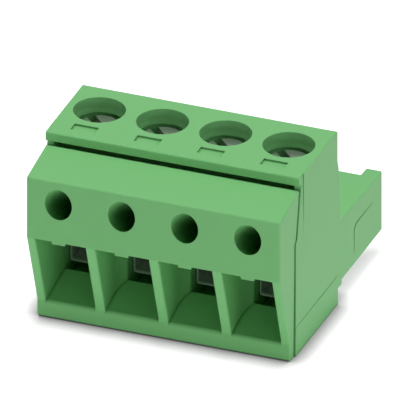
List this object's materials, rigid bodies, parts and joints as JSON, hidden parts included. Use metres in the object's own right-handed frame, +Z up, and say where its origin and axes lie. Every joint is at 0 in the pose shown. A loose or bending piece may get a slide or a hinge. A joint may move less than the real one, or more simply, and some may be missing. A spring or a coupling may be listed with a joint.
{
  "type": "pluggable terminal block",
  "caption": "Green plug-in screw terminal block: wire funnels and test holes in front, screw shafts on top, a low socket nose behind.",
  "frame": {"origin": "middle of the footprint, on the surface that the block stands on", "axes": "+X along the row of positions, +Y towards the plug nose, away from the wire entries, +Z up towards the screws"},
  "size_m": [0.0308, 0.032, 0.0223],
  "materials": {
    "housing": "satin moulded",
    "screw": "zinc plated",
    "cage": "zinc plated",
    "contact": "tin plated",
    "spring": "bright spring steel"
  },
  "bodies": {
    "housing": {"main_housing": "housing", "front_housing": "housing", "contact_1": "contact", "contact_2": "contact", "contact_3": "contact", "contact_4": "contact", "contact_spring_1": "spring", "contact_spring_2": "spring", "contact_spring_3": "spring", "contact_spring_4": "spring"},
    "screw_1": {"clamp_screw_1": "screw"},
    "cage_1": {"clamp_cage_1": "cage"},
    "screw_2": {"clamp_screw_2": "screw"},
    "cage_2": {"clamp_cage_2": "cage"},
    "screw_3": {"clamp_screw_3": "screw"},
    "cage_3": {"clamp_cage_3": "cage"},
    "screw_4": {"clamp_screw_4": "screw"},
    "cage_4": {"clamp_cage_4": "cage"}
  },
  "joints": [
    {"name": "screw_1_turn", "type": "hinge", "parent": "housing", "child": "screw_1", "pos_m": [-0.01143, -0.00303, 0.0202], "axis": [0, 0, -1], "range_deg": [0, 2880]},
    {"name": "cage_1_lift", "type": "slide", "parent": "housing", "child": "cage_1", "axis": [0, 0, 1], "range_m": [0, 0.004]},
    {"name": "screw_2_turn", "type": "hinge", "parent": "housing", "child": "screw_2", "pos_m": [-0.00381, -0.00303, 0.0202], "axis": [0, 0, -1], "range_deg": [0, 2880]},
    {"name": "cage_2_lift", "type": "slide", "parent": "housing", "child": "cage_2", "axis": [0, 0, 1], "range_m": [0, 0.004]},
    {"name": "screw_3_turn", "type": "hinge", "parent": "housing", "child": "screw_3", "pos_m": [0.00381, -0.00303, 0.0202], "axis": [0, 0, -1], "range_deg": [0, 2880]},
    {"name": "cage_3_lift", "type": "slide", "parent": "housing", "child": "cage_3", "axis": [0, 0, 1], "range_m": [0, 0.004]},
    {"name": "screw_4_turn", "type": "hinge", "parent": "housing", "child": "screw_4", "pos_m": [0.01143, -0.00303, 0.0202], "axis": [0, 0, -1], "range_deg": [0, 2880]},
    {"name": "cage_4_lift", "type": "slide", "parent": "housing", "child": "cage_4", "axis": [0, 0, 1], "range_m": [0, 0.004]}
  ],
  "couplings": [
    {"joint": "screw_1_turn", "follows": "cage_1_lift", "rad_per_m": 12566},
    {"joint": "screw_2_turn", "follows": "cage_2_lift", "rad_per_m": 12566},
    {"joint": "screw_3_turn", "follows": "cage_3_lift", "rad_per_m": 12566},
    {"joint": "screw_4_turn", "follows": "cage_4_lift", "rad_per_m": 12566}
  ]
}
